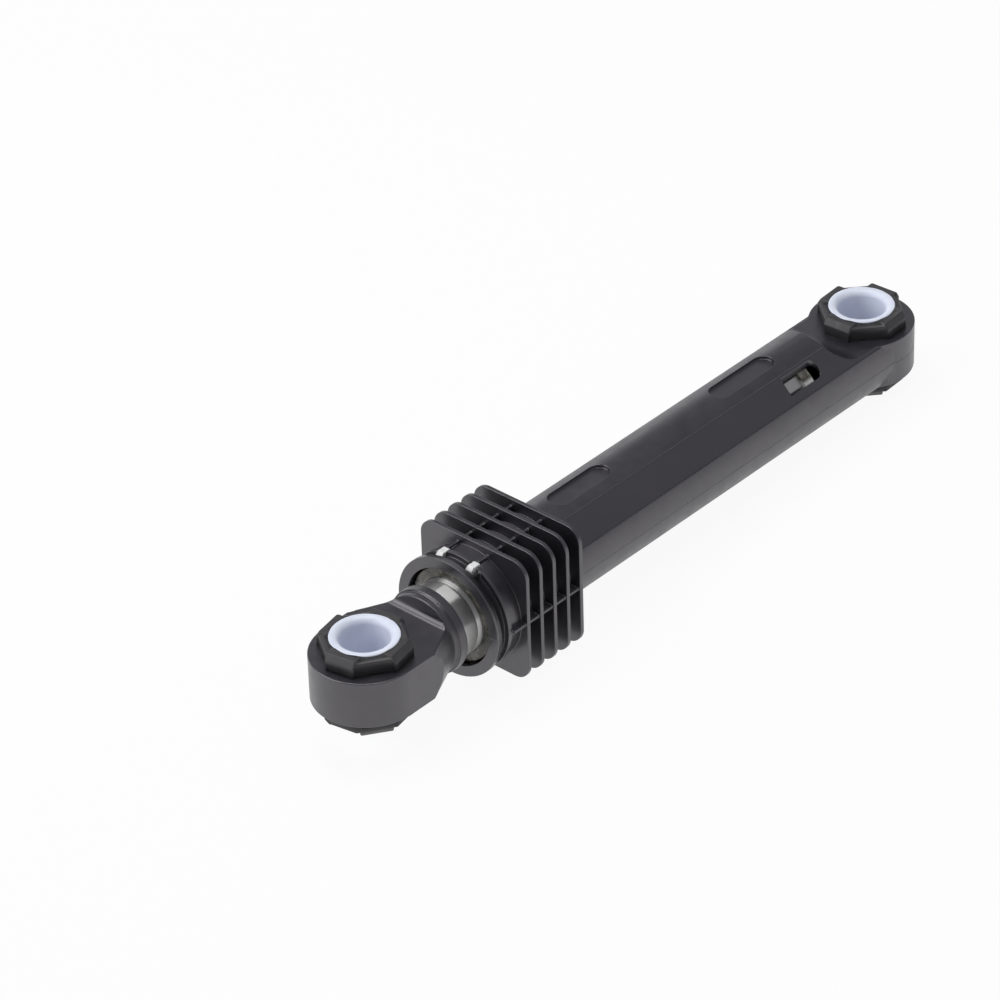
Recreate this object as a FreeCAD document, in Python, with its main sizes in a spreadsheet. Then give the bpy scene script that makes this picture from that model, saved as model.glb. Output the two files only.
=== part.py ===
"""Friction damper that hangs under the tub of a washing machine.

Frame, in millimetres: the origin is the centre of the housing's eye bore, +X runs along
the damper towards the rod's eye, and +Z runs along both eye bores.
"""
import FreeCAD, Part
import math
import os

import Sketcher

doc = FreeCAD.newDocument("damper")
sheet = doc.addObject("Spreadsheet::Sheet", "sizes")

# Driving dimensions
DRIVING = {
    # both eyes
    "eye_wall": 4.1,
    "eye_thickness": 14.0,
    "bush_wall": 1.55,
    "bore_radius": 6.75,
    "sleeve_wall": 2.7,
    "sleeve_length": 24.0,
    "flange_overlap": 0.2,
    "rim_wall": 0.6,
    "ramp_height": 2.7,
    "tab_width": 8.8,
    "tab_overlap": 1.2,
    "tab_inset": 0.4,
    "tab_drop": 0.2,
    "tab_slope_width": 1.1,
    "tab_slope_height": 1.8,
    "housing_bush_turn": 3.0,
    "rod_bush_turn": 10.0,
    # rod
    "tube_radius": 11.0,
    "tube_wall": 1.0,
    "tube_length": 143.7,
    "collar_offset": 25.7,
    "collar_wall": 1.5,
    "collar_length": 2.8,
    "neck_wall": 0.85,
    "neck_root": 9.6,
    "neck_spread": 1.5,
    "rod_step": 20.8,
    "rod_step_fillet": 2.0,
    "spigot_length": 18.0,
    "crimp_offset": 6.0,
    "crimp_width": 2.0,
    "crimp_depth": 0.5,
    # guide on the inner end of the rod
    "guide_head": 3.7,
    "guide_spigot": 9.0,
    # housing
    "bore_gap": 1.2,
    "housing_wall": 2.4,
    "housing_step": 26.2,
    "housing_step_fillet": 10.5,
    "end_wall": 0.8,
    "panel_step": 0.4,
    "panel_half_angle": 18.3,
    "window_start": 31.0,
    "window_length": 13.8,
    "window_width": 3.95,
    "window_y": 8.85,
    "recess_width": 6.5,
    "recess_depth": 1.1,
    "recess_near_setback": 20.1,
    "recess_near_length": 22.5,
    "recess_far_x": 53.5,
    "recess_far_length": 25.0,
    # finned mouth of the housing
    "lip_width": 1.7,
    "lip_wall": 3.2,
    "groove_width": 2.9,
    "groove_wall": 1.6,
    "ring_width": 1.3,
    "ring_wall": 3.0,
    "mouth_wall": 2.2,
    "fin_gap": 4.65,
    "fin_thickness": 1.25,
    "fin_pitch": 5.28,
    "fin_reach": 4.95,
    "fin_corner": 5.0,
    "fin_sleeve_wall": 1.75,
    "web_thickness": 0.9,
    "web_inset": 0.4,
    "rib_y": 5.3,
    "rib_thickness": 0.9,
    "rib_inset": 2.0,
    "hook_window_width": 2.5,
    "hook_window_length": 3.9,
    "hook_window_setback": 2.7,
    "bridge_y": 7.6,
    "bridge_width": 1.0,
    # friction pieces in the mouth
    "liner_thickness": 2.75,
    "liner_length": 21.0,
    "liner_slit": 0.8,
    "retainer_seat": 0.7,
    "retainer_length": 7.9,
    "retainer_flange": 4.5,
    "nose_setback": 1.8,
    "nose_wall": 2.9,
    "hook_clearance": 0.2,
    "hook_height": 2.15,
    "hook_chamfer": 0.9,
    # rest position of the rod, and clearances
    "closed_gap": 6.55,
    "mouth_gap": 5.8,
    "running_clearance": 0.05,
    "head_clearance": 0.1,
}
ANGLES = ("panel_half_angle", "housing_bush_turn", "rod_bush_turn")

SIDES = (("top", ""), ("bottom", "-"))
FIN_COUNT = 5
PANEL_COUNT = 4
FLANGE_SIDE_COUNT = 8
TAB_COUNT = FLANGE_SIDE_COUNT // 2
# degrees from an axis to the middle of a panel, and from one side of a bush's flange to the next
PANEL_TURN = 180 / PANEL_COUNT
SIDE_TURN = 360 / FLANGE_SIDE_COUNT

# Sizes worked out from the driving dimensions
DERIVED = {
    "eye_half": "eye_thickness / 2",
    "sleeve_half": "sleeve_length / 2",
    "sleeve_radius": "bore_radius + sleeve_wall",
    "eye_hole_radius": "sleeve_radius + bush_wall",
    "eye_radius": "eye_hole_radius + eye_wall",
    "flange_height": "sleeve_half - eye_half",
    "ramp_radius": "eye_hole_radius + flange_overlap",
    "ramp_width": "ramp_radius - sleeve_radius - rim_wall",
    "flange_near": "tab_width / 2 - tab_inset",
    "flange_far": "ramp_radius / cos(%g deg) - flange_near" % SIDE_TURN,
    "tab_far": "ramp_radius + tab_overlap",
    "tab_crown": "tab_far - tab_slope_width",
    "tab_top": "sleeve_half - tab_drop",
    "tab_edge": "tab_top - tab_slope_height",
    "tube_inner": "tube_radius - tube_wall",
    "collar_radius": "tube_radius + collar_wall",
    "collar_front": "collar_offset - collar_length",
    "neck_radius": "tube_radius + neck_wall",
    "neck_root_radius": "eye_radius + neck_spread",
    "neck_cut": "neck_root_radius + neck_spread",
    "tube_reach": "collar_offset + tube_length",
    "spigot_reach": "collar_offset + spigot_length",
    "crimp_x": "collar_offset + crimp_offset",
    "crimp_far": "crimp_x + crimp_width / 2",
    "crimp_near": "crimp_x - crimp_width / 2",
    "crimp_outer": "tube_radius - crimp_depth",
    "step_top": "eye_half + neck_root_radius",
    "rod_step_foot": "rod_step - rod_step_fillet",
    "rod_step_arc_z": "eye_half + rod_step_fillet",
    "housing_bore": "tube_radius + bore_gap",
    "housing_radius": "housing_bore + housing_wall",
    "housing_step_foot": "housing_step - housing_step_fillet",
    "housing_step_arc_z": "eye_half + housing_step_fillet",
    "bore_end": "housing_step + end_wall",
    "guide_front": "tube_reach + running_clearance",
    "guide_back": "guide_front + guide_head",
    "guide_tip": "guide_front - guide_spigot",
    "guide_outer": "housing_bore - head_clearance",
    "guide_inner": "tube_inner - running_clearance",
    "panel_half_width": "housing_radius * sin(panel_half_angle)",
    "panel_floor": "housing_radius * cos(panel_half_angle) - panel_step",
    "panel_cut": "housing_radius + housing_wall",
    "eye_distance": "bore_end + closed_gap + guide_back",
    "mouth_x": "eye_distance - collar_offset - mouth_gap",
    "lip_back": "mouth_x - lip_width",
    "ring_front": "lip_back - groove_width",
    "ring_back": "ring_front - ring_width",
    "fin_front": "ring_back - fin_gap",
    "fins_back": "fin_front - fin_thickness - %d * fin_pitch" % (FIN_COUNT - 1),
    "fin_span": "%d * fin_pitch" % (FIN_COUNT - 1),
    "liner_inner": "tube_radius + running_clearance",
    "liner_outer": "tube_radius + liner_thickness",
    "fin_sleeve_radius": "liner_outer + fin_sleeve_wall",
    "fin_half_size": "liner_outer + fin_reach",
    "seat_radius": "liner_outer + retainer_seat",
    "mouth_radius": "seat_radius + mouth_wall",
    "ring_radius": "seat_radius + ring_wall",
    "groove_radius": "seat_radius + groove_wall",
    "lip_radius": "seat_radius + lip_wall",
    "nose_front": "mouth_x - nose_setback",
    "retainer_back": "nose_front - retainer_length",
    "retainer_step": "retainer_back + retainer_flange",
    "liner_back": "retainer_back - liner_length",
    "nose_radius": "tube_radius + nose_wall",
    "fin_straight": "fin_half_size - fin_corner",
    "fin_root": "(liner_outer + fin_sleeve_radius) / 2",
    "web_root": "(seat_radius + fin_sleeve_radius) / 2",
    "mouth_root": "(seat_radius + mouth_radius) / 2",
    "web_edge": "fin_half_size - web_inset",
    "rib_inner_y": "rib_y - rib_thickness / 2",
    "rib_outer_y": "rib_y + rib_thickness / 2",
    "rib_top": "fin_half_size - rib_inset",
    "rib_root": "fin_root * cos(asin(rib_outer_y / fin_root))",
    "rib_height": "rib_top - rib_root",
    "mouth_rib_root": "mouth_root * cos(asin(rib_outer_y / mouth_root))",
    "mouth_rib_height": "rib_top - mouth_rib_root",
    "hook_back": "mouth_x - hook_window_setback - hook_window_length",
    "hook_front": "mouth_x - hook_window_setback",
    "hook_inner_y": "rib_y - hook_window_width / 2",
    "hook_outer_y": "rib_y + hook_window_width / 2",
    "hook_root": "nose_radius * cos(asin(hook_outer_y / nose_radius))",
    "hook_top": "seat_radius + hook_height",
    "hook_cut": "lip_radius - hook_root",
    "hook_piece_back": "hook_back + hook_clearance",
    "hook_piece_front": "hook_front - hook_clearance",
    "hook_chamfer_x": "hook_piece_front - hook_chamfer",
    "hook_chamfer_z": "hook_top - hook_chamfer",
    "hook_piece_inner_y": "hook_inner_y + hook_clearance",
    "hook_piece_outer_y": "hook_outer_y - hook_clearance",
    "hook_piece_width": "hook_window_width - 2 * hook_clearance",
    "bridge_inner_y": "bridge_y - bridge_width / 2",
    "bridge_outer_y": "bridge_y + bridge_width / 2",
    "bridge_root": "(seat_radius + groove_radius) / 2 * cos(asin(bridge_y / seat_radius))",
    "bridge_top": "ring_radius * cos(asin(bridge_outer_y / ring_radius))",
    "bridge_height": "bridge_top - bridge_root",
    "window_half": "window_width / 2",
    "window_inner_y": "window_y - window_half",
    "window_outer_y": "window_y + window_half",
    "window_round_x": "window_start + window_half",
    "window_end": "window_start + window_length",
    "recess_half": "recess_width / 2",
    "recess_near_x": "fins_back - recess_near_setback",
    "recess_near_start": "recess_near_x - recess_near_length / 2 + recess_half",
    "recess_near_end": "recess_near_x + recess_near_length / 2 - recess_half",
    "recess_far_start": "recess_far_x - recess_far_length / 2 + recess_half",
    "recess_far_end": "recess_far_x + recess_far_length / 2 - recess_half",
    "liner_slit_half": "liner_slit / 2",
}


def fill_sheet():
    """Writes every size to the sheet, one row each, with its name as the alias."""
    row = 1
    for name, value in DRIVING.items():
        text = "%g" % value
        if name in ANGLES:
            text = "=%g deg" % value
        sheet.set("A%d" % row, name)
        sheet.set("B%d" % row, text)
        sheet.setAlias("B%d" % row, name)
        row += 1
    for name, formula in DERIVED.items():
        sheet.set("A%d" % row, name)
        sheet.set("B%d" % row, "=" + formula)
        sheet.setAlias("B%d" % row, name)
        row += 1
    doc.recompute()


def size(name):
    """The number behind a size's name; a leading minus gives its opposite, and 0 is zero."""
    if name == "0":
        return 0.0
    if name.startswith("-"):
        return -size(name[1:])
    return float(getattr(sheet, name))


def bind(thing, prop, name):
    """Ties a property to a size of the sheet."""
    thing.setExpression(prop, "sizes." + name)


def new_body(label):
    """A sub-part of the damper."""
    body = doc.addObject("PartDesign::Body", label)
    body.Label = label
    return body


def origin_feature(body, role):
    """An axis or plane of the body's own origin."""
    return [item for item in body.Origin.OriginFeatures if item.Role == role][0]


def new_sketch(body, name, plane, offset="0", turn=0.0, about=(0, 0, 1)):
    """A sketch on an origin plane, lifted along its normal by a size, or turned in place."""
    sketch = body.newObject("Sketcher::SketchObject", name)
    sketch.AttachmentSupport = [(origin_feature(body, plane), "")]
    sketch.MapMode = "FlatFace"
    turned = FreeCAD.Rotation(FreeCAD.Vector(*about), turn)
    sketch.AttachmentOffset = FreeCAD.Placement(FreeCAD.Vector(0, 0, size(offset)), turned)
    if offset != "0":
        sign = "-" if offset.startswith("-") else ""
        sketch.setExpression("AttachmentOffset.Base.z", sign + "sizes." + offset.lstrip("-"))
    return sketch


def pin_coordinate(sketch, kind, axis, geometry, point, name):
    """Holds one coordinate of a sketch point at a named size."""
    if name == "0":
        sketch.addConstraint(Sketcher.Constraint("PointOnObject", geometry, point, axis))
        return
    value = abs(size(name))
    if name.startswith("-"):
        index = sketch.addConstraint(Sketcher.Constraint(kind, geometry, point, -1, 1, value))
    else:
        index = sketch.addConstraint(Sketcher.Constraint(kind, -1, 1, geometry, point, value))
    bind(sketch, "Constraints[%d]" % index, name.lstrip("-"))


def pin_point(sketch, geometry, point, x_name, y_name):
    """Holds a sketch point at named sizes."""
    pin_coordinate(sketch, "DistanceX", -2, geometry, point, x_name)
    pin_coordinate(sketch, "DistanceY", -1, geometry, point, y_name)


def at(x_name, y_name):
    """The place of a sketch point given by two size names."""
    return FreeCAD.Vector(size(x_name), size(y_name), 0)


def set_radius(sketch, geometry, name):
    """Ties the radius of a circle or arc to a size."""
    index = sketch.addConstraint(Sketcher.Constraint("Radius", geometry, size(name)))
    bind(sketch, "Constraints[%d]" % index, name)


def draw_circle(sketch, x_name, y_name, radius_name):
    """A circle with its centre and radius tied to sizes."""
    circle = Part.Circle(at(x_name, y_name), FreeCAD.Vector(0, 0, 1), size(radius_name))
    geometry = sketch.addGeometry(circle, False)
    set_radius(sketch, geometry, radius_name)
    if (x_name, y_name) == ("0", "0"):
        sketch.addConstraint(Sketcher.Constraint("Coincident", geometry, 3, -1, 1))
    else:
        pin_point(sketch, geometry, 3, x_name, y_name)


def draw_run(sketch, start, end, centre=None):
    """A line between two places, or the shorter arc about a centre; returns it with its end points."""
    if centre is None:
        return sketch.addGeometry(Part.LineSegment(start, end), False), 1, 2
    first = math.atan2(start.y - centre.y, start.x - centre.x)
    last = math.atan2(end.y - centre.y, end.x - centre.x)
    sweep = (last - first) % (2 * math.pi)
    circle = Part.Circle(centre, FreeCAD.Vector(0, 0, 1), start.distanceToPoint(centre))
    if round(sweep, 6) <= round(math.pi, 6):
        return sketch.addGeometry(Part.ArcOfCircle(circle, first, first + sweep), False), 1, 2
    back = 2 * math.pi - sweep
    return sketch.addGeometry(Part.ArcOfCircle(circle, last, last + back), False), 2, 1


def draw_outline(sketch, corners):
    """A closed outline through named corners.

    A corner is (x, y), or (x, y, centre x, centre y) where the run to the next one is an arc.
    An arc's ends are held at its corners, and its centre's x settles the rest.
    """
    runs = []
    for number, corner in enumerate(corners):
        following = corners[(number + 1) % len(corners)]
        centre = at(*corner[2:]) if len(corner) == 4 else None
        runs.append(draw_run(sketch, at(*corner[:2]), at(*following[:2]), centre))
        if centre is not None:
            pin_coordinate(sketch, "DistanceX", -2, runs[-1][0], 3, corner[2])
    for number, corner in enumerate(corners):
        geometry, first_point, last_point = runs[number]
        before, before_first, before_last = runs[number - 1]
        sketch.addConstraint(Sketcher.Constraint("Coincident", before, before_last, geometry, first_point))
        pin_point(sketch, geometry, first_point, *corner[:2])


def draw_rectangle(sketch, left, right, bottom, top):
    """A rectangle between four named sizes."""
    draw_outline(sketch, [(left, bottom), (right, bottom), (right, top), (left, top)])


def draw_slot(sketch, start_x, end_x, half_width):
    """A slot along the sketch's x axis, round at both ends."""
    under = "-" + half_width
    draw_outline(sketch, [(start_x, under), (end_x, under, end_x, "0"),
                          (end_x, half_width), (start_x, half_width, start_x, "0")])


def revolve(body, name, sketch):
    """A solid of revolution about its sketch's x axis."""
    feature = body.newObject("PartDesign::Revolution", name)
    feature.Profile = sketch
    feature.ReferenceAxis = (sketch, ["H_Axis"])
    feature.Angle = 360
    return feature


def pad(body, name, sketch, length, midplane=False, backwards=False):
    """Material along the sketch's normal."""
    feature = body.newObject("PartDesign::Pad", name)
    feature.Profile = sketch
    feature.Length = size(length)
    bind(feature, "Length", length)
    feature.Midplane = midplane
    feature.Reversed = backwards
    return feature


def pocket(body, name, sketch, depth, backwards=False):
    """A straight cut; it has to take some material away."""
    doc.recompute()
    before = body.Shape.Volume
    feature = body.newObject("PartDesign::Pocket", name)
    feature.Profile = sketch
    feature.Length = size(depth)
    bind(feature, "Length", depth)
    feature.Reversed = backwards
    doc.recompute()
    if not body.Shape.Volume < before:
        raise RuntimeError(name + " cuts nothing")
    return feature


def through_hole(body, name, sketch):
    """A cut through everything, both ways."""
    feature = body.newObject("PartDesign::Pocket", name)
    feature.Profile = sketch
    feature.Type = "ThroughAll"
    feature.Midplane = True
    return feature


def slope_rim(body, name, block, level, width, height):
    """Bevels the rim of a block's end face: width is taken off the face, height off the sides."""
    doc.recompute()
    names = []
    for number, edge in enumerate(block.Shape.Edges):
        if all(abs(corner.Z - size(level)) < Part.Precision.confusion() for corner in edge.Vertexes):
            names.append("Edge%d" % (number + 1))
    bevel = body.newObject("PartDesign::Chamfer", name)
    bevel.Base = (block, names)
    bevel.ChamferType = "Two distances"
    bevel.Size = size(width)
    bevel.Size2 = size(height)
    bind(bevel, "Size", width)
    bind(bevel, "Size2", height)
    return bevel


def polar(body, name, features, role, count):
    """Copies of features spread evenly about an origin axis."""
    pattern = body.newObject("PartDesign::PolarPattern", name)
    pattern.Originals = features
    pattern.Axis = (origin_feature(body, role), [""])
    pattern.Angle = 360
    pattern.Occurrences = count
    body.Tip = pattern
    return pattern


def opposite(name):
    """The name of a size with its sign changed."""
    if name == "0":
        return name
    return name[1:] if name.startswith("-") else "-" + name


def below(corners):
    """The same corners on the other side of the sketch's x axis."""
    return [tuple(opposite(name) if number % 2 else name for number, name in enumerate(corner))
            for corner in corners]


def cut_step(body, name, wall, foot, arc_z, backwards=False):
    """Clears the round barrel down to both faces of an eye, with a hollow at the step's foot."""
    sketch = new_sketch(body, name + "_outline", "XZ_Plane")
    if backwards:
        wall, foot = opposite(wall), opposite(foot)
    reach = "eye_radius" if backwards else "-eye_radius"
    above = [(reach, "eye_half"), (foot, "eye_half", foot, arc_z), (wall, arc_z), (wall, "step_top"),
             (reach, "step_top")]
    draw_outline(sketch, above)
    draw_outline(sketch, below(above))
    return through_hole(body, name, sketch)


def make_sleeve(label):
    """Hard sleeve that the pin goes through."""
    body = new_body(label)
    plan = new_sketch(body, label + "_plan", "XY_Plane")
    draw_circle(plan, "0", "0", "sleeve_radius")
    draw_circle(plan, "0", "0", "bore_radius")
    pad(body, label + "_tube", plan, "sleeve_length", midplane=True)
    return body


def draw_octagon(sketch, far, near):
    """An octagon about the origin with a flat towards each axis and a wider one between them."""
    quarter = [(far, "-" + near), (far, near), (near, far), ("-" + near, far)]
    draw_outline(sketch, quarter + [(opposite(x_name), opposite(y_name)) for x_name, y_name in quarter])


def add_flange(body, name, sign, turn):
    """One flange of a bush: an octagon with ramps all round it and a domed tab over every other one."""
    plan = new_sketch(body, name + "_plan", "XY_Plane", offset=sign + "eye_half")
    draw_octagon(plan, "flange_far", "flange_near")
    block = pad(body, name + "_block", plan, "flange_height", backwards=bool(sign))
    slope_rim(body, name + "_ramps", block, sign + "sleeve_half", "ramp_width", "ramp_height")
    section = new_sketch(body, name + "_tab_section", "XZ_Plane", turn=turn, about=(0, 1, 0))
    corners = [("bore_radius", "eye_half"), ("tab_far", "eye_half"), ("tab_far", "tab_edge"),
               ("tab_crown", "tab_top"), ("bore_radius", "tab_top")]
    draw_outline(section, below(corners) if sign else corners)
    tab = pad(body, name + "_tab", section, "tab_width", midplane=True)
    polar(body, name + "_tabs", [tab], "Z_Axis", TAB_COUNT)


def make_bush(label):
    """Rubber bush with an octagonal flange on each face; one flange's tabs stand over the other's ramps."""
    body = new_body(label)
    waist = new_sketch(body, label + "_waist_plan", "XY_Plane")
    draw_circle(waist, "0", "0", "eye_hole_radius")
    pad(body, label + "_waist", waist, "eye_thickness", midplane=True)
    for number, (side, sign) in enumerate(SIDES):
        add_flange(body, "%s_%s" % (label, side), sign, number * SIDE_TURN)
    hole = new_sketch(body, label + "_hole_plan", "XY_Plane")
    draw_circle(hole, "0", "0", "sleeve_radius")
    through_hole(body, label + "_hole", hole)
    return body


def add_eye(body, label):
    """The eye itself: a round boss with the hole that takes the bush."""
    boss = new_sketch(body, label + "_boss_plan", "XY_Plane")
    draw_circle(boss, "0", "0", "eye_radius")
    pad(body, label + "_boss", boss, "eye_thickness", midplane=True)
    hole = new_sketch(body, label + "_hole_plan", "XY_Plane")
    draw_circle(hole, "0", "0", "eye_hole_radius")
    through_hole(body, label + "_hole", hole)


def make_rod_eye():
    """Moulded eye of the rod: a spigot pressed into the tube, a round collar, a neck and the eye."""
    body = new_body("rod_eye")
    section = new_sketch(body, "rod_eye_section", "XZ_Plane")
    draw_outline(section, [
        ("-spigot_reach", "0"), ("-spigot_reach", "tube_inner"), ("-collar_offset", "tube_inner"),
        ("-collar_offset", "collar_radius"), ("-collar_front", "collar_radius"),
        ("-collar_front", "neck_radius"), ("-rod_step", "neck_radius"),
        ("-neck_root", "neck_root_radius"), ("0", "neck_root_radius"), ("0", "0"),
    ])
    revolve(body, "rod_eye_turned", section)
    cut_step(body, "rod_step", "rod_step", "rod_step_foot", "rod_step_arc_z", backwards=True)
    sides = new_sketch(body, "neck_sides_plan", "XY_Plane")
    for span in both_sides("-rod_step", "0", "eye_radius", "neck_cut"):
        draw_rectangle(sides, *span)
    through_hole(body, "neck_sides", sides)
    add_eye(body, "rod_eye")
    return body


def make_piston_tube():
    """Steel tube of the rod, with a groove rolled round it over the spigot."""
    body = new_body("piston_tube")
    section = new_sketch(body, "piston_tube_section", "XZ_Plane")
    draw_outline(section, [
        ("-tube_reach", "tube_inner"), ("-tube_reach", "tube_radius"), ("-crimp_far", "tube_radius"),
        ("-crimp_x", "crimp_outer"), ("-crimp_near", "tube_radius"), ("-collar_offset", "tube_radius"),
        ("-collar_offset", "tube_inner"),
    ])
    revolve(body, "piston_tube_turned", section)
    return body


def make_tube_end_guide():
    """Nylon guide on the tube's inner end: its head runs in the housing, its spigot in the tube."""
    body = new_body("tube_end_guide")
    section = new_sketch(body, "tube_end_guide_section", "XZ_Plane")
    draw_outline(section, [
        ("-guide_back", "0"), ("-guide_back", "guide_outer"), ("-guide_front", "guide_outer"),
        ("-guide_front", "guide_inner"), ("-guide_tip", "guide_inner"), ("-guide_tip", "0"),
    ])
    revolve(body, "tube_end_guide_turned", section)
    return body


def make_friction_liner():
    """Greased foam strip wrapped round the tube, with a narrow gap where its ends meet."""
    body = new_body("friction_liner")
    section = new_sketch(body, "friction_liner_section", "XZ_Plane")
    draw_rectangle(section, "liner_back", "retainer_back", "liner_inner", "liner_outer")
    revolve(body, "friction_liner_wrap", section)
    gap = new_sketch(body, "friction_liner_gap_plan", "XY_Plane")
    draw_rectangle(gap, "liner_back", "retainer_back", "-liner_slit_half", "liner_slit_half")
    pocket(body, "friction_liner_gap", gap, "liner_outer")
    return body


def make_liner_retainer():
    """Nylon ring that closes the mouth, guides the tube and snaps in with four hooks."""
    body = new_body("liner_retainer")
    section = new_sketch(body, "liner_retainer_section", "XZ_Plane")
    draw_outline(section, [
        ("retainer_back", "liner_inner"), ("retainer_back", "seat_radius"),
        ("retainer_step", "seat_radius"), ("retainer_step", "nose_radius"),
        ("nose_front", "nose_radius"), ("nose_front", "liner_inner"),
    ])
    revolve(body, "liner_retainer_turned", section)
    hook = [("hook_piece_back", "hook_root"), ("hook_piece_front", "hook_root"),
            ("hook_piece_front", "hook_chamfer_z"), ("hook_chamfer_x", "hook_top"),
            ("hook_piece_back", "hook_top")]
    for height, corners in (("upper", hook), ("lower", below(hook))):
        for side, offset in (("left", "hook_piece_inner_y"), ("right", "-hook_piece_outer_y")):
            name = "%s_%s_hook" % (height, side)
            profile = new_sketch(body, name + "_profile", "XZ_Plane", offset=offset)
            draw_outline(profile, corners)
            pad(body, name, profile, "hook_piece_width")
    return body


def add_blocks(body, name, spans, root, height):
    """Upright blocks over the same plan on the top and the bottom of the barrel."""
    for side, sign in SIDES:
        plan = new_sketch(body, "%s_%s_plan" % (name, side), "XY_Plane", offset=sign + root)
        for span in spans:
            draw_rectangle(plan, *span)
        pad(body, "%s_%s" % (name, side), plan, height, backwards=bool(sign))


def both_sides(start, end, inner, outer):
    """Two spans along X, one on each side of the damper's middle plane."""
    return [(start, end, inner, outer), (start, end, "-" + outer, "-" + inner)]


def add_fins(body):
    """Square cooling fins on the mouth, a web on each side and two ribs on the top and bottom."""
    plan = new_sketch(body, "fin_plan", "YZ_Plane", offset="fin_front")
    half, flat = "fin_half_size", "fin_straight"
    right = [(half, "-" + flat), (half, flat, flat, flat), (flat, half), ("-" + flat, half, "-" + flat, flat)]
    draw_outline(plan, right + [tuple(opposite(name) for name in corner) for corner in right])
    draw_circle(plan, "0", "0", "fin_root")
    fin = pad(body, "fin", plan, "fin_thickness", backwards=True)
    row = body.newObject("PartDesign::LinearPattern", "fins")
    row.Originals = [fin]
    row.Direction = (origin_feature(body, "X_Axis"), [""])
    row.Reversed = True
    row.Length = size("fin_span")
    bind(row, "Length", "fin_span")
    row.Occurrences = FIN_COUNT
    body.Tip = row

    web_plan = new_sketch(body, "web_plan", "XY_Plane")
    for span in both_sides("fins_back", "ring_back", "web_root", "web_edge"):
        draw_rectangle(web_plan, *span)
    pad(body, "webs", web_plan, "web_thickness", midplane=True)
    add_blocks(body, "ribs", both_sides("fins_back", "fin_front", "rib_inner_y", "rib_outer_y"),
               "rib_root", "rib_height")
    add_blocks(body, "mouth_ribs", both_sides("fin_front", "ring_back", "rib_inner_y", "rib_outer_y"),
               "mouth_rib_root", "mouth_rib_height")
    add_blocks(body, "bridges", both_sides("ring_front", "lip_back", "bridge_inner_y", "bridge_outer_y"),
               "bridge_root", "bridge_height")


def cut_top_and_bottom(body, name, draw, level, depth):
    """The same straight cut from above and from below."""
    for side, sign in SIDES:
        plan = new_sketch(body, "%s_%s_plan" % (name, side), "XY_Plane", offset=sign + level)
        draw(plan)
        pocket(body, "%s_%s" % (name, side), plan, depth, backwards=bool(sign))


def draw_hook_windows(sketch):
    """The windows that the retainer's hooks snap into."""
    for span in both_sides("hook_back", "hook_front", "hook_inner_y", "hook_outer_y"):
        draw_rectangle(sketch, *span)


def make_cylinder_housing():
    """Moulded housing: eye, barrel with four flat panels, and a finned mouth, all in one piece."""
    body = new_body("cylinder_housing")
    section = new_sketch(body, "housing_section", "XZ_Plane")
    draw_outline(section, [
        ("0", "0"), ("0", "housing_radius"), ("fins_back", "housing_radius"),
        ("fins_back", "fin_sleeve_radius"), ("fin_front", "fin_sleeve_radius"),
        ("fin_front", "mouth_radius"), ("ring_back", "mouth_radius"), ("ring_back", "ring_radius"),
        ("ring_front", "ring_radius"), ("ring_front", "groove_radius"), ("lip_back", "groove_radius"),
        ("lip_back", "lip_radius"), ("mouth_x", "lip_radius"), ("mouth_x", "seat_radius"),
        ("retainer_back", "seat_radius"), ("retainer_back", "liner_outer"), ("liner_back", "liner_outer"),
        ("liner_back", "housing_bore"), ("bore_end", "housing_bore"), ("bore_end", "0"),
    ])
    revolve(body, "housing_turned", section)

    panel_plan = new_sketch(body, "panel_plan", "YZ_Plane", offset="fins_back", turn=PANEL_TURN)
    draw_rectangle(panel_plan, "panel_floor", "panel_cut", "-panel_half_width", "panel_half_width")
    panel = pocket(body, "panel", panel_plan, "fins_back")
    polar(body, "panels", [panel], "X_Axis", PANEL_COUNT)

    cut_step(body, "housing_step", "housing_step", "housing_step_foot", "housing_step_arc_z")
    add_eye(body, "housing_eye")
    add_fins(body)
    cut_top_and_bottom(body, "hook_windows", draw_hook_windows, "lip_radius", "hook_cut")

    recess_plan = new_sketch(body, "recess_plan", "XY_Plane", offset="housing_radius")
    draw_slot(recess_plan, "recess_near_start", "recess_near_end", "recess_half")
    draw_slot(recess_plan, "recess_far_start", "recess_far_end", "recess_half")
    pocket(body, "recesses", recess_plan, "recess_depth")

    window_plan = new_sketch(body, "window_plan", "XY_Plane")
    draw_outline(window_plan, [("window_round_x", "window_inner_y"), ("window_end", "window_inner_y"),
                               ("window_end", "window_outer_y"),
                               ("window_round_x", "window_outer_y", "window_round_x", "window_y")])
    pocket(body, "window", window_plan, "housing_radius", backwards=True)
    return body


def check_document(parts):
    """Stops if any object failed or any sub-part isn't one valid solid."""
    for thing in doc.Objects:
        if "Invalid" in thing.State or "Error" in thing.State:
            raise RuntimeError("%s failed: %s" % (thing.Name, thing.State))
    for part in parts:
        if part.Shape.isNull() or not part.Shape.isValid() or len(part.Shape.Solids) != 1:
            raise RuntimeError(part.Label + " is not one valid solid")


def main():
    fill_sheet()
    housing_bush = make_bush("housing_eye_bush")
    rod_bush = make_bush("rod_eye_bush")
    bind(housing_bush, "Placement.Rotation.Angle", "housing_bush_turn")
    bind(rod_bush, "Placement.Rotation.Angle", "rod_bush_turn")
    housing_side = [make_cylinder_housing(), make_friction_liner(), make_liner_retainer(),
                    housing_bush, make_sleeve("housing_eye_sleeve")]
    rod_side = [make_piston_tube(), make_rod_eye(), make_tube_end_guide(),
                rod_bush, make_sleeve("rod_eye_sleeve")]
    for part in rod_side:
        bind(part, "Placement.Base.x", "eye_distance")
    parts = housing_side + rod_side
    doc.recompute()
    check_document(parts)
    os.makedirs("parts", exist_ok=True)
    for part in parts:
        part.Shape.exportStep("parts/%s.step" % part.Label)


main()
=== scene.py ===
import math

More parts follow.
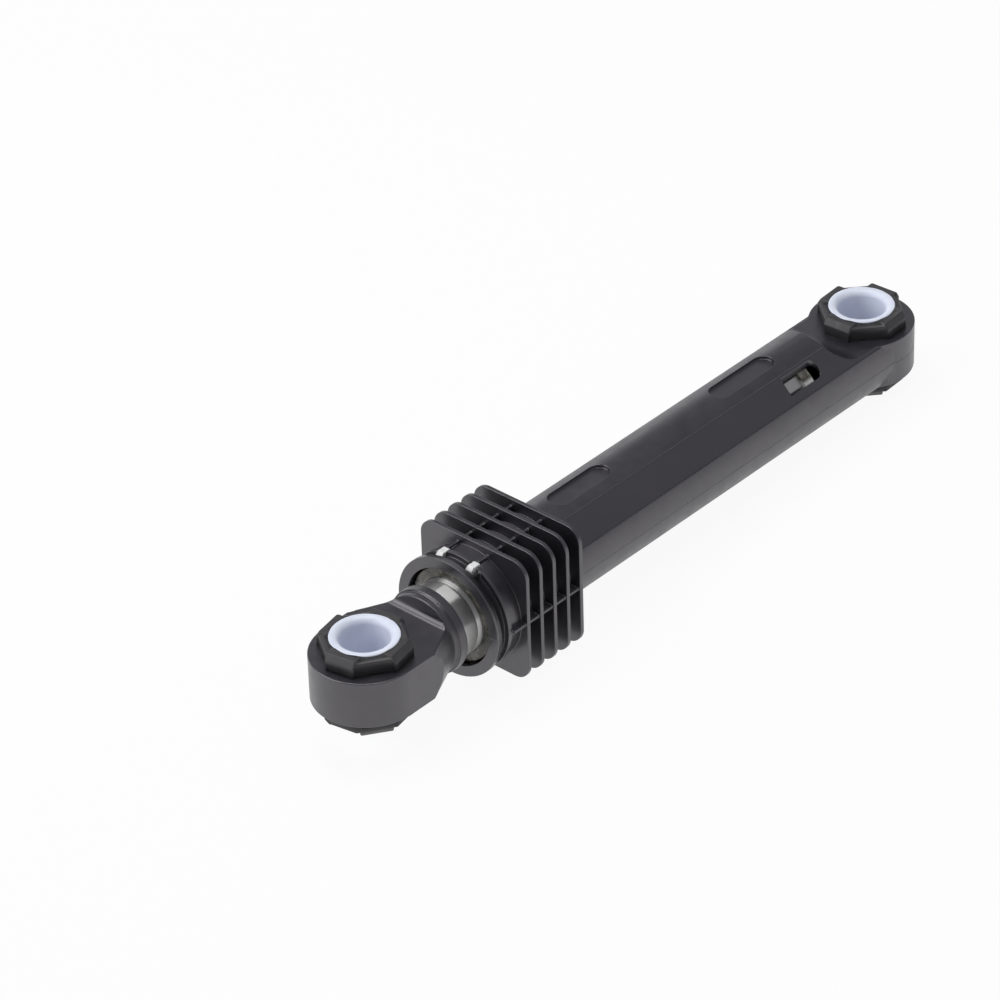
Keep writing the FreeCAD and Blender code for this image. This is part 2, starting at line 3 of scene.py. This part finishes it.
import bmesh
import bpy
from mathutils import Matrix, Vector


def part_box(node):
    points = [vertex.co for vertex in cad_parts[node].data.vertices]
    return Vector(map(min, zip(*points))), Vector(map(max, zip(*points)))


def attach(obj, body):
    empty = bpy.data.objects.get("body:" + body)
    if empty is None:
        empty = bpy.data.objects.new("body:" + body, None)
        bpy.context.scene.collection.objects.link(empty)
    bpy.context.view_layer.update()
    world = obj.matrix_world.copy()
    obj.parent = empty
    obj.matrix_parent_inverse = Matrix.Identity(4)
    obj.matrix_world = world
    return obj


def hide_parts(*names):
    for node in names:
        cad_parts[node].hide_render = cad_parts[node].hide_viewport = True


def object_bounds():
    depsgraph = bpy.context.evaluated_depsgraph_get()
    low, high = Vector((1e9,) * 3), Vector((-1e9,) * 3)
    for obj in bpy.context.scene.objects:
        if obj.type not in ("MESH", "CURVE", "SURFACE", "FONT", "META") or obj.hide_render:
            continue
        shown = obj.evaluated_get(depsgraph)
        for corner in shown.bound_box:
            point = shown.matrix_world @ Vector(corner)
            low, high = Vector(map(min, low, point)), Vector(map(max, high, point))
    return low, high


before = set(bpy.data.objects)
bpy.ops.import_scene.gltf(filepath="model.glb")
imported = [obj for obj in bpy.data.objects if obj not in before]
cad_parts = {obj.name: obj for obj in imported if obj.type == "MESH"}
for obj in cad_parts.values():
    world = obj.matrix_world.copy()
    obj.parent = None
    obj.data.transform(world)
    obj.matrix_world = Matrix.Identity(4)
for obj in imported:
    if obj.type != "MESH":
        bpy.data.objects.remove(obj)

CAD_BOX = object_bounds()
MM = 0.001

# Camera, fitted to the photograph: angles in degrees, lengths in metres
CAMERA_AZIMUTH = 132.716
CAMERA_ELEVATION = 34.297
CAMERA_ROLL = -1.889
CAMERA_DISTANCE = 1.3369
CAMERA_TARGET = Vector((0.15345, 0.0, 0.02591))
CAMERA_REACH = 100.0
# Width of the sensor and focal length in millimetres
CAMERA_SENSOR = 36.0
CAMERA_LENS = 182.96

# Lamps: name, place from the damper's middle, width and height in metres, and power in watts
LAMPS = (
    ("overhead", (0.02, -0.14, 0.9), 0.24, 0.9, 4.3),
    ("key", (1.05, -0.77, 0.8), 1.1, 1.1, 10.0),
    ("fill", (-0.75, 0.7, 0.7), 0.9, 0.9, 0.3),
    ("backdrop", (-1.15, -0.95, 0.35), 1.8, 0.5, 2.2),
)

# Shades of the studio, from the foot of its walls to the middle of its ceiling
STUDIO_SHADES = (
    (0.0, (0.42, 0.42, 0.44)),
    (0.2, (0.32, 0.32, 0.335)),
    (0.45, (0.24, 0.24, 0.255)),
    (0.8, (0.26, 0.26, 0.27)),
    (1.0, (0.35, 0.35, 0.35)),
)

# Floor: half its width in metres, its colour, and the share of it that shows as plain white
FLOOR_HALF = 6.0
FLOOR_COLOUR = (0.86, 0.86, 0.86, 1)
FLOOR_WHITE = 0.93

# Radius of the moulded edges of each piece
EDGE_RADIUS = {
    "cylinder_housing": 0.18 * MM,
    "rod_eye": 0.35 * MM,
    "liner_retainer": 0.15 * MM,
    "tube_end_guide": 0.3 * MM,
    "housing_eye_bush": 0.22 * MM,
    "rod_eye_bush": 0.22 * MM,
}
EDGE_SEGMENTS = 3
ROUND_PROFILE = 0.5
# Edges that are rounded: least angle between their faces, and least width of these as a share of the radius
SHARP_ANGLE = math.radians(28)
ROOM_SHARE = 0.6
# Back face of the mouth's lip, where the ribs end flush with its edge and leave no room to round it
LIP_BACK = 173.5 * MM
LIP_REACH = 0.02 * MM

# Upright corners of the bushes' tabs: radius, least length, least fold and least rise as a share of length
TAB_CORNER = 0.4 * MM
TAB_SEGMENTS = 4
TAB_EDGE = 1.0 * MM
TAB_FOLD = math.radians(60)
UPRIGHT_SHARE = 0.8
# Rims of the bushes: least distance from the axis, and the most that they may rise or run outward
RIM_INNER = 10.6 * MM
LEVEL_SHARE = 0.1
ROUND_SHARE = 0.75
# Half the thickness of the eyes: a bush is hidden inside its eye within it
EYE_HALF = 7.0 * MM

# Sleeves: radius of the bore, of its flared ends and of the outer edges
SLEEVE_BORE = 6.75 * MM
SLEEVE_FLARE = 1.9 * MM
SLEEVE_EDGE = 0.35 * MM

# Fineness of turned forms, of flats that are joined, of points that are one, and of the flats' even shading
LATHE_STEPS = 144
ARC_STEPS = 8
FLAT_ANGLE = math.radians(0.5)
WELD_DISTANCE = 0.002 * MM
NORMAL_WEIGHT = 60

# Distances from the damper's axis: clean hooks lie beyond the first, grease within the second
HOOK_FOOT = 14.9 * MM
SMEAR_EDGE = 14.5 * MM
GRADIENT_REACH = 20 * MM

# Mark that the mould's halves leave on the housing's middle plane
PARTING_WIDTH = 0.36 * MM
PARTING_DEPTH = 0.15 * MM

# Heights between which the guide's upper side turns dark olive: painted shadow of the window's upper wall,
# in the colours of grease
PAINTED_SHADOW_LOW = 7.5 * MM
PAINTED_SHADOW_HIGH = 8.3 * MM

# Colours that each material varies between
PLASTIC_DARK = (0.0128, 0.0122, 0.0158)
PLASTIC_LIGHT = (0.0188, 0.0178, 0.0226)
PLASTIC_SHEEN = (0.99, 0.955, 1.0, 1)
RUBBER_DARK = (0.016, 0.016, 0.018)
RUBBER_BLOOM = (0.030, 0.029, 0.032)
SLEEVE_DIM = (0.73, 0.77, 0.90)
SLEEVE_BRIGHT = (0.79, 0.83, 0.94)
STEEL_FILMED = (0.58, 0.58, 0.572)
STEEL_CLEAN = (0.67, 0.67, 0.665)
NYLON_CLOUDY = (0.70, 0.71, 0.69)
NYLON_CLEAR = (0.84, 0.845, 0.85)
# Dark olive colours: real grease on the retainer, painted shadow on the guide's upper side
GREASE_AND_SHADE_DARKEST = (0.035, 0.033, 0.026)
GREASE_AND_SHADE_MIDDLE = (0.10, 0.095, 0.078)
GREASE_AND_SHADE_PALEST = (0.26, 0.25, 0.21)
FOAM_CELL = (0.06, 0.05, 0.03)
FOAM_WALL = (0.22, 0.18, 0.11)


# Mesh helpers

def add_object(name, mesh, body, node_name):
    """Links a finished mesh as a piece that rides on a body and stands for a CAD node."""
    piece = bpy.data.objects.new(name, mesh)
    bpy.context.scene.collection.objects.link(piece)
    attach(piece, body)
    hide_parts(node_name)
    return piece


def even_shading(piece):
    """Smooth shading that keeps the large flats flat."""
    piece.data.shade_smooth()
    weighted = piece.modifiers.new("weighted_normals", "WEIGHTED_NORMAL")
    weighted.weight = NORMAL_WEIGHT
    weighted.keep_sharp = False


def is_rim(edge, centre):
    """True for a level outer edge of a bush that runs round its eye, clear of the eye's faces."""
    first, second = [corner.co for corner in edge.verts]
    run = (second - first).normalized()
    outward = ((first + second) / 2 - centre) * Vector((1, 1, 0))
    level = abs(run.z) < LEVEL_SHARE
    around = abs(run.dot(outward.normalized())) < ROUND_SHARE
    clear = min(abs(first.z), abs(second.z)) > EYE_HALF + WELD_DISTANCE
    outer = edge.calc_face_angle_signed(0) > SHARP_ANGLE
    return level and around and clear and outer and outward.length > RIM_INNER


def is_tab_corner(edge):
    """True for an upright outer corner of a bush's tab."""
    first, second = [corner.co for corner in edge.verts]
    upright = abs(first.z - second.z) > UPRIGHT_SHARE * edge.calc_length()
    outer = edge.calc_face_angle_signed(0) > TAB_FOLD
    return upright and outer and edge.calc_length() > TAB_EDGE


def is_lip_back(edge):
    """True for an edge in the back face of the mouth's lip."""
    return all(abs(corner.co.x - LIP_BACK) < LIP_REACH for corner in edge.verts)


def has_room(edge, radius):
    """True where the faces beside an edge are wide enough to round it."""
    least = ROOM_SHARE * radius * edge.calc_length()
    return all(face.calc_area() > least for face in edge.link_faces)


def join_flats(work):
    """Joins the triangles of each flat into one face; the middle plane parts the ring-shaped ones."""
    everything = work.verts[:] + work.edges[:] + work.faces[:]
    cut = bmesh.ops.bisect_plane(work, geom=everything, dist=WELD_DISTANCE,
                                 plane_co=(0, 0, 0), plane_no=(0, 1, 0))
    for item in cut["geom_cut"]:
        if isinstance(item, bmesh.types.BMEdge):
            item.seam = True
    bmesh.ops.dissolve_limit(work, angle_limit=FLAT_ANGLE, verts=work.verts, edges=work.edges,
                             delimit={"SEAM"})


def round_edges(work, edges, radius, segments):
    """Rounds edges to a radius."""
    bmesh.ops.bevel(work, geom=edges, offset=radius, offset_type="OFFSET", segments=segments,
                    profile=ROUND_PROFILE, affect="EDGES", clamp_overlap=False)


def moulded_edges(work, node_name, slot_name):
    """The sharp edges of a node that its mould rounds."""
    radius = EDGE_RADIUS[node_name]
    sharp = [edge for edge in work.edges if edge.calc_face_angle(0) > SHARP_ANGLE and has_room(edge, radius)]
    if slot_name == "rubber":
        low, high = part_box(node_name)
        return [edge for edge in sharp if is_rim(edge, (low + high) / 2)]
    return [edge for edge in sharp if node_name != "cylinder_housing" or not is_lip_back(edge)]


def fix_order(work):
    """Puts the faces in a fixed order, by the first three points of each."""
    work.verts.index_update()
    count = len(work.verts)

    def place(face):
        first, second, third = sorted(corner.index for corner in face.verts)[:3]
        return (first * count + second) * count + third

    work.faces.sort(key=place)


def rounded_copy(node_name, body, slot_name):
    """The CAD node's form with its sharp edges rounded, as a moulding leaves them."""
    mesh = bpy.data.meshes.new(node_name + "_rounded")
    work = bmesh.new()
    work.from_mesh(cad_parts[node_name].data)
    bmesh.ops.remove_doubles(work, verts=work.verts, dist=WELD_DISTANCE)
    join_flats(work)
    is_rubber = slot_name == "rubber"
    if is_rubber:
        corners = [edge for edge in work.edges if is_tab_corner(edge)]
        round_edges(work, corners, TAB_CORNER, TAB_SEGMENTS)
    round_edges(work, moulded_edges(work, node_name, slot_name), EDGE_RADIUS[node_name], EDGE_SEGMENTS)
    if is_rubber:
        fix_order(work)
    work.to_mesh(mesh)
    work.free()
    piece = add_object(node_name + "_rounded", mesh, body, node_name)
    even_shading(piece)
    return piece


def arc(centre, radius, first, last):
    """Points of an arc in a section, from one angle to another, in degrees."""
    points = []
    for step in range(ARC_STEPS + 1):
        angle = math.radians(first + (last - first) * step / ARC_STEPS)
        points.append((centre[0] + radius * math.cos(angle), centre[1] + radius * math.sin(angle)))
    return points


def lathe(name, section, centre):
    """A closed section of (radius, height) points turned about an upright axis through a centre."""
    mesh = bpy.data.meshes.new(name)
    work = bmesh.new()
    rings = []
    for step in range(LATHE_STEPS):
        angle = 2 * math.pi * step / LATHE_STEPS
        ring = []
        for radius, height in section:
            place = Vector((radius * math.cos(angle), radius * math.sin(angle), height))
            ring.append(work.verts.new(centre + place))
        rings.append(ring)
    for step, ring in enumerate(rings):
        following = rings[(step + 1) % LATHE_STEPS]
        for number in range(len(section)):
            after = (number + 1) % len(section)
            work.faces.new((ring[number], following[number], following[after], ring[after]))
    bmesh.ops.recalc_face_normals(work, faces=work.faces)
    work.to_mesh(mesh)
    work.free()
    return mesh


# Material helpers

def new_material(name):
    """A material with a Principled shader; returns it with its tree and shader."""
    material = bpy.data.materials.new(name)
    material.use_nodes = True
    tree = material.node_tree
    return material, tree, tree.nodes["Principled BSDF"]


def dress(tree, shader, colours, roughness, relief):
    """Leads colours, roughness and relief to a shader."""
    tree.links.new(colours, shader.inputs["Base Color"])
    tree.links.new(roughness, shader.inputs["Roughness"])
    tree.links.new(relief, shader.inputs["Normal"])


def add_place(tree, scale):
    """Place on the object in its own metres, scaled along its axes."""
    place = tree.nodes.new("ShaderNodeTexCoord")
    mapping = tree.nodes.new("ShaderNodeMapping")
    mapping.inputs["Scale"].default_value = scale
    tree.links.new(place.outputs["Object"], mapping.inputs["Vector"])
    return mapping.outputs["Vector"]


def add_noise(tree, scale, detail=4.0, roughness=0.55, stretch=(1, 1, 1)):
    """Noise in the object's own metres, stretched along its axes."""
    noise = tree.nodes.new("ShaderNodeTexNoise")
    noise.inputs["Scale"].default_value = scale
    noise.inputs["Detail"].default_value = detail
    noise.inputs["Roughness"].default_value = roughness
    tree.links.new(add_place(tree, stretch), noise.inputs["Vector"])
    return noise.outputs["Fac"]


def add_ramp(tree, factor, *stops):
    """Colours at places along a factor from 0 to 1."""
    ramp = tree.nodes.new("ShaderNodeValToRGB")
    while len(ramp.color_ramp.elements) < len(stops):
        ramp.color_ramp.elements.new(0.5)
    for element, (position, colour) in zip(ramp.color_ramp.elements, stops):
        element.position = position
        element.color = (*colour, 1)
    tree.links.new(factor, ramp.inputs["Fac"])
    return ramp.outputs["Color"]


def add_range(tree, factor, low, high, start=0.3, end=0.7):
    """A number that goes from low to high while a factor goes from start to end."""
    reach = tree.nodes.new("ShaderNodeMapRange")
    reach.inputs["From Min"].default_value = start
    reach.inputs["From Max"].default_value = end
    reach.inputs["To Min"].default_value = low
    reach.inputs["To Max"].default_value = high
    tree.links.new(factor, reach.inputs["Value"])
    return reach.outputs["Result"]


def add_math(tree, operation, *sockets):
    """A number worked out from one or two others."""
    result = tree.nodes.new("ShaderNodeMath")
    result.operation = operation
    for number, socket in enumerate(sockets):
        tree.links.new(socket, result.inputs[number])
    return result.outputs[0]


def add_height(tree):
    """Height above the damper's axis in metres."""
    place = tree.nodes.new("ShaderNodeTexCoord")
    split = tree.nodes.new("ShaderNodeSeparateXYZ")
    tree.links.new(place.outputs["Object"], split.inputs[0])
    return split.outputs["Z"]


def add_parting(tree):
    """Relief of a parting line: 0 on the middle plane of a moulding and 1 beside it."""
    height = add_math(tree, "ABSOLUTE", add_height(tree))
    return add_range(tree, height, low=0, high=1, start=PARTING_WIDTH / 4, end=PARTING_WIDTH / 2)


def add_radius(tree):
    """A factor that falls from 1 on the damper's axis to 0 at the edge of GRADIENT_REACH."""
    gradient = tree.nodes.new("ShaderNodeTexGradient")
    gradient.gradient_type = "SPHERICAL"
    across = 1 / GRADIENT_REACH
    tree.links.new(add_place(tree, (0, across, across)), gradient.inputs["Vector"])
    return gradient.outputs["Fac"]


def add_blend(tree, factor, first, second):
    """A colour that goes from one socket to another along a factor."""
    blend = tree.nodes.new("ShaderNodeMix")
    blend.data_type = "RGBA"
    tree.links.new(factor, blend.inputs["Factor"])
    tree.links.new(first, blend.inputs["A"])
    tree.links.new(second, blend.inputs["B"])
    return blend.outputs["Result"]


def add_bump(tree, height, strength, distance, normal=None):
    """Relief of a given depth in metres, on top of another relief if there is one."""
    bump = tree.nodes.new("ShaderNodeBump")
    bump.inputs["Strength"].default_value = strength
    bump.inputs["Distance"].default_value = distance
    tree.links.new(height, bump.inputs["Height"])
    if normal is not None:
        tree.links.new(normal, bump.inputs["Normal"])
    return bump.outputs["Normal"]


# Materials

def moulded_plastic(name, has_parting):
    """Satin black moulding: fine grain, faint flow marks, uneven gloss and, on one, a parting line."""
    material, tree, shader = new_material(name)
    flow = add_noise(tree, scale=90, stretch=(0.35, 1, 1))
    grain = add_noise(tree, scale=3200, detail=2)
    sink = add_noise(tree, scale=260, detail=2)
    colours = add_ramp(tree, flow, (0.3, PLASTIC_DARK), (0.7, PLASTIC_LIGHT))
    roughness = add_range(tree, sink, low=0.29, high=0.39)
    waves = add_bump(tree, sink, strength=0.25, distance=0.03 * MM)
    relief = add_bump(tree, grain, strength=0.3, distance=0.012 * MM, normal=waves)
    if has_parting:
        relief = add_bump(tree, add_parting(tree), strength=1.0, distance=PARTING_DEPTH, normal=relief)
    dress(tree, shader, colours, roughness, relief)
    shader.inputs["IOR"].default_value = 1.58
    shader.inputs["Specular IOR Level"].default_value = 1.0
    shader.inputs["Specular Tint"].default_value = PLASTIC_SHEEN
    return material


def rubber():
    """Black rubber: dull, with a dusty bloom."""
    material, tree, shader = new_material("black_rubber")
    bloom = add_noise(tree, scale=420)
    grain = add_noise(tree, scale=5200, detail=2)
    colours = add_ramp(tree, bloom, (0.3, RUBBER_DARK), (0.72, RUBBER_BLOOM))
    roughness = add_range(tree, bloom, low=0.42, high=0.6)
    relief = add_bump(tree, grain, strength=0.4, distance=0.015 * MM)
    dress(tree, shader, colours, roughness, relief)
    shader.inputs["Specular IOR Level"].default_value = 0.75
    return material


def white_plastic():
    """Smooth bluish white plastic of the sleeves, faintly clouded."""
    material, tree, shader = new_material("white_sleeve_plastic")
    cloud = add_noise(tree, scale=160, detail=3)
    grain = add_noise(tree, scale=2600, detail=2)
    colours = add_ramp(tree, cloud, (0.3, SLEEVE_DIM), (0.7, SLEEVE_BRIGHT))
    roughness = add_range(tree, cloud, low=0.3, high=0.42)
    relief = add_bump(tree, grain, strength=0.2, distance=0.01 * MM)
    dress(tree, shader, colours, roughness, relief)
    return material


def steel():
    """Bright plated steel with fine turned lines round the tube and a thin film of grease."""
    material, tree, shader = new_material("plated_steel")
    lines = add_noise(tree, scale=1500, detail=5, stretch=(1, 0.02, 0.02))
    film = add_noise(tree, scale=110, detail=3, stretch=(1, 0.5, 0.5))
    colours = add_ramp(tree, film, (0.3, STEEL_FILMED), (0.7, STEEL_CLEAN))
    roughness = add_range(tree, film, low=0.32, high=0.38)
    relief = add_bump(tree, lines, strength=0.35, distance=0.012 * MM)
    dress(tree, shader, colours, roughness, relief)
    round_tube = tree.nodes.new("ShaderNodeTangent")
    round_tube.direction_type = "RADIAL"
    round_tube.axis = "X"
    tree.links.new(round_tube.outputs["Tangent"], shader.inputs["Tangent"])
    shader.inputs["Metallic"].default_value = 1.0
    shader.inputs["Anisotropic"].default_value = 0.95
    shader.inputs["Anisotropic Rotation"].default_value = 0.25
    return material


def dress_nylon(tree, shader, depth, low, high):
    """Cloudy natural nylon where the depth is 0 and dark olive where it is 1: real grease on the retainer,
    painted shadow on the guide.
    """
    smear = add_noise(tree, scale=330, detail=5, stretch=(2.5, 1, 1))
    grain = add_noise(tree, scale=1800, detail=3)
    clean = add_ramp(tree, smear, (0.32, NYLON_CLOUDY), (0.68, NYLON_CLEAR))
    # Dark olive ramp: real grease on the retainer, painted shadow on the guide
    grease = add_ramp(tree, smear, (0.34, GREASE_AND_SHADE_DARKEST), (0.5, GREASE_AND_SHADE_MIDDLE), (0.7, GREASE_AND_SHADE_PALEST))
    colours = add_blend(tree, depth, clean, grease)
    roughness = add_range(tree, smear, low, high)
    relief = add_bump(tree, grain, strength=0.3, distance=0.03 * MM)
    dress(tree, shader, colours, roughness, relief)


def guide_nylon():
    """Natural nylon, clean on the flanks, with painted shadow in the dark olive of grease on the upper side.
    """
    material, tree, shader = new_material("guide_nylon")
    # Painted shadow: the guide darkens with height, standing in for the shadow that the window's upper wall
    # casts on it
    depth = add_range(tree, add_height(tree), low=0, high=1, start=PAINTED_SHADOW_LOW, end=PAINTED_SHADOW_HIGH)
    dress_nylon(tree, shader, depth, low=0.2, high=0.4)
    return material


def retainer_nylon():
    """Natural nylon, clean on the hooks and dark with grease in the mouth."""
    material, tree, shader = new_material("retainer_nylon")
    clean_end = 1 - HOOK_FOOT / GRADIENT_REACH
    grease_start = 1 - SMEAR_EDGE / GRADIENT_REACH
    depth = add_range(tree, add_radius(tree), low=0, high=1, start=clean_end, end=grease_start)
    dress_nylon(tree, shader, depth, low=0.12, high=0.36)
    return material


def foam():
    """Brown foam soaked with grease, with open cells."""
    material, tree, shader = new_material("greased_foam")
    cells = add_noise(tree, scale=1400, detail=5, roughness=0.7)
    colours = add_ramp(tree, cells, (0.35, FOAM_CELL), (0.7, FOAM_WALL))
    roughness = add_range(tree, cells, low=0.35, high=0.7)
    relief = add_bump(tree, cells, strength=0.8, distance=0.25 * MM)
    dress(tree, shader, colours, roughness, relief)
    return material


def paint(piece, material):
    """Gives a piece one material."""
    piece.data.materials.clear()
    piece.data.materials.append(material)


# Pieces

def make_sleeve(node_name, body):
    """Sleeve of an eye: a tube whose bore opens in a smooth round flare."""
    low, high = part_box(node_name)
    centre = (low + high) / 2
    outer = (high.x - low.x) / 2
    half = (high.z - low.z) / 2
    flare = arc((SLEEVE_BORE + SLEEVE_FLARE, half - SLEEVE_FLARE), SLEEVE_FLARE, 180, 90)
    edge = arc((outer - SLEEVE_EDGE, half - SLEEVE_EDGE), SLEEVE_EDGE, 90, 0)
    top = flare + edge
    section = top + [(radius, -height) for radius, height in reversed(top)]
    mesh = lathe(node_name + "_turned", section, centre)
    piece = add_object(node_name + "_turned", mesh, body, node_name)
    piece.data.shade_smooth()
    return piece


def make_pieces():
    """Every CAD node, as it is or as a copy with rounded edges, with its material."""
    housing = rounded_copy("cylinder_housing", "housing", "black_plastic")
    paint(housing, moulded_plastic("housing_plastic", has_parting=True))
    rod_eye = rounded_copy("rod_eye", "rod", "black_plastic")
    paint(rod_eye, moulded_plastic("rod_eye_plastic", has_parting=False))
    black = rubber()
    white = white_plastic()
    for eye, body in (("housing_eye", "housing"), ("rod_eye", "rod")):
        paint(rounded_copy(eye + "_bush", body, "rubber"), black)
        paint(make_sleeve(eye + "_sleeve", body), white)
    paint(rounded_copy("liner_retainer", "housing", "natural_nylon"), retainer_nylon())
    paint(rounded_copy("tube_end_guide", "guide", "natural_nylon"), guide_nylon())
    paint(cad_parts["piston_tube"], steel())
    paint(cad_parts["friction_liner"], foam())


# Stage

def floor_height(x):
    """Height of the surface under the damper, which lies on the housing eye's sleeve and the nearest fin."""
    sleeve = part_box("housing_eye_sleeve")[0]
    fins_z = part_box("cylinder_housing")[0].z
    points = [vertex.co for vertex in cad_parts["cylinder_housing"].data.vertices]
    fins_x = min(point.x for point in points if point.z < fins_z + WELD_DISTANCE)
    slope = (fins_z - sleeve.z) / (fins_x - sleeve.x)
    return sleeve.z + slope * (x - sleeve.x)


def white_floor():
    """Matt white that shows as plain white and keeps a soft trace of the shadow."""
    material = bpy.data.materials.new("white_floor")
    material.use_nodes = True
    tree = material.node_tree
    tree.nodes.clear()
    output = tree.nodes.new("ShaderNodeOutputMaterial")
    matt = tree.nodes.new("ShaderNodeBsdfDiffuse")
    matt.inputs["Color"].default_value = FLOOR_COLOUR
    white = tree.nodes.new("ShaderNodeEmission")
    path = tree.nodes.new("ShaderNodeLightPath")
    seen = add_math(tree, "MAXIMUM", path.outputs["Is Camera Ray"], path.outputs["Is Glossy Ray"])
    seen = add_math(tree, "MAXIMUM", seen, path.outputs["Is Transmission Ray"])
    mix = tree.nodes.new("ShaderNodeMixShader")
    tree.links.new(add_range(tree, seen, low=0, high=FLOOR_WHITE, start=0, end=1), mix.inputs["Fac"])
    tree.links.new(matt.outputs[0], mix.inputs[1])
    tree.links.new(white.outputs[0], mix.inputs[2])
    tree.links.new(mix.outputs[0], output.inputs["Surface"])
    return material


def make_floor():
    """A wide white floor under the damper."""
    mesh = bpy.data.meshes.new("floor")
    corners = []
    for side_x, side_y in ((-1, -1), (1, -1), (1, 1), (-1, 1)):
        x = side_x * FLOOR_HALF
        y = side_y * FLOOR_HALF
        corners.append((x, y, floor_height(x)))
    mesh.from_pydata(corners, [], [(0, 1, 2, 3)])
    mesh.materials.append(white_floor())
    floor = bpy.data.objects.new("floor", mesh)
    bpy.context.scene.collection.objects.link(floor)


def make_world():
    """Studio round the floor: pale walls, a dimmer band above them and a pale ceiling."""
    world = bpy.data.worlds.new("studio")
    bpy.context.scene.world = world
    world.use_nodes = True
    tree = world.node_tree
    place = tree.nodes.new("ShaderNodeTexCoord")
    split = tree.nodes.new("ShaderNodeSeparateXYZ")
    tree.links.new(place.outputs["Generated"], split.inputs[0])
    shades = add_ramp(tree, split.outputs["Z"], *STUDIO_SHADES)
    tree.links.new(shades, tree.nodes["Background"].inputs["Color"])


def add_softbox(name, place, target, width, height, power):
    """A soft rectangular lamp."""
    lamp = bpy.data.lights.new(name, "AREA")
    lamp.shape = "RECTANGLE"
    lamp.size = width
    lamp.size_y = height
    lamp.energy = power
    holder = bpy.data.objects.new(name, lamp)
    holder.location = place
    holder.rotation_mode = "QUATERNION"
    holder.rotation_quaternion = (target - place).to_track_quat("-Z", "Y")
    bpy.context.scene.collection.objects.link(holder)


def make_lamps():
    """Soft lamps round the damper's middle."""
    middle = (CAD_BOX[0] + CAD_BOX[1]) / 2
    for name, offset, width, height, power in LAMPS:
        add_softbox(name, middle + Vector(offset), middle, width, height, power)


def make_camera():
    """Camera at the photograph's place."""
    azimuth = math.radians(CAMERA_AZIMUTH)
    elevation = math.radians(CAMERA_ELEVATION)
    roll = math.radians(CAMERA_ROLL)
    back = Vector((math.sin(azimuth) * math.cos(elevation), -math.cos(azimuth) * math.cos(elevation),
                   math.sin(elevation)))
    level = Vector((math.cos(azimuth), math.sin(azimuth), 0))
    upright = back.cross(level)
    right = math.cos(roll) * level + math.sin(roll) * upright
    up = math.cos(roll) * upright - math.sin(roll) * level
    lens = bpy.data.cameras.new("camera")
    lens.sensor_width = CAMERA_SENSOR
    lens.lens = CAMERA_LENS
    lens.clip_end = CAMERA_REACH
    camera = bpy.data.objects.new("camera", lens)
    turned = Matrix((right, up, back)).transposed().to_4x4()
    camera.matrix_world = Matrix.Translation(CAMERA_TARGET + back * CAMERA_DISTANCE) @ turned
    bpy.context.scene.collection.objects.link(camera)
    bpy.context.scene.camera = camera


make_pieces()
make_floor()
make_world()
make_lamps()
make_camera()
bpy.context.scene.view_settings.view_transform = "Standard"
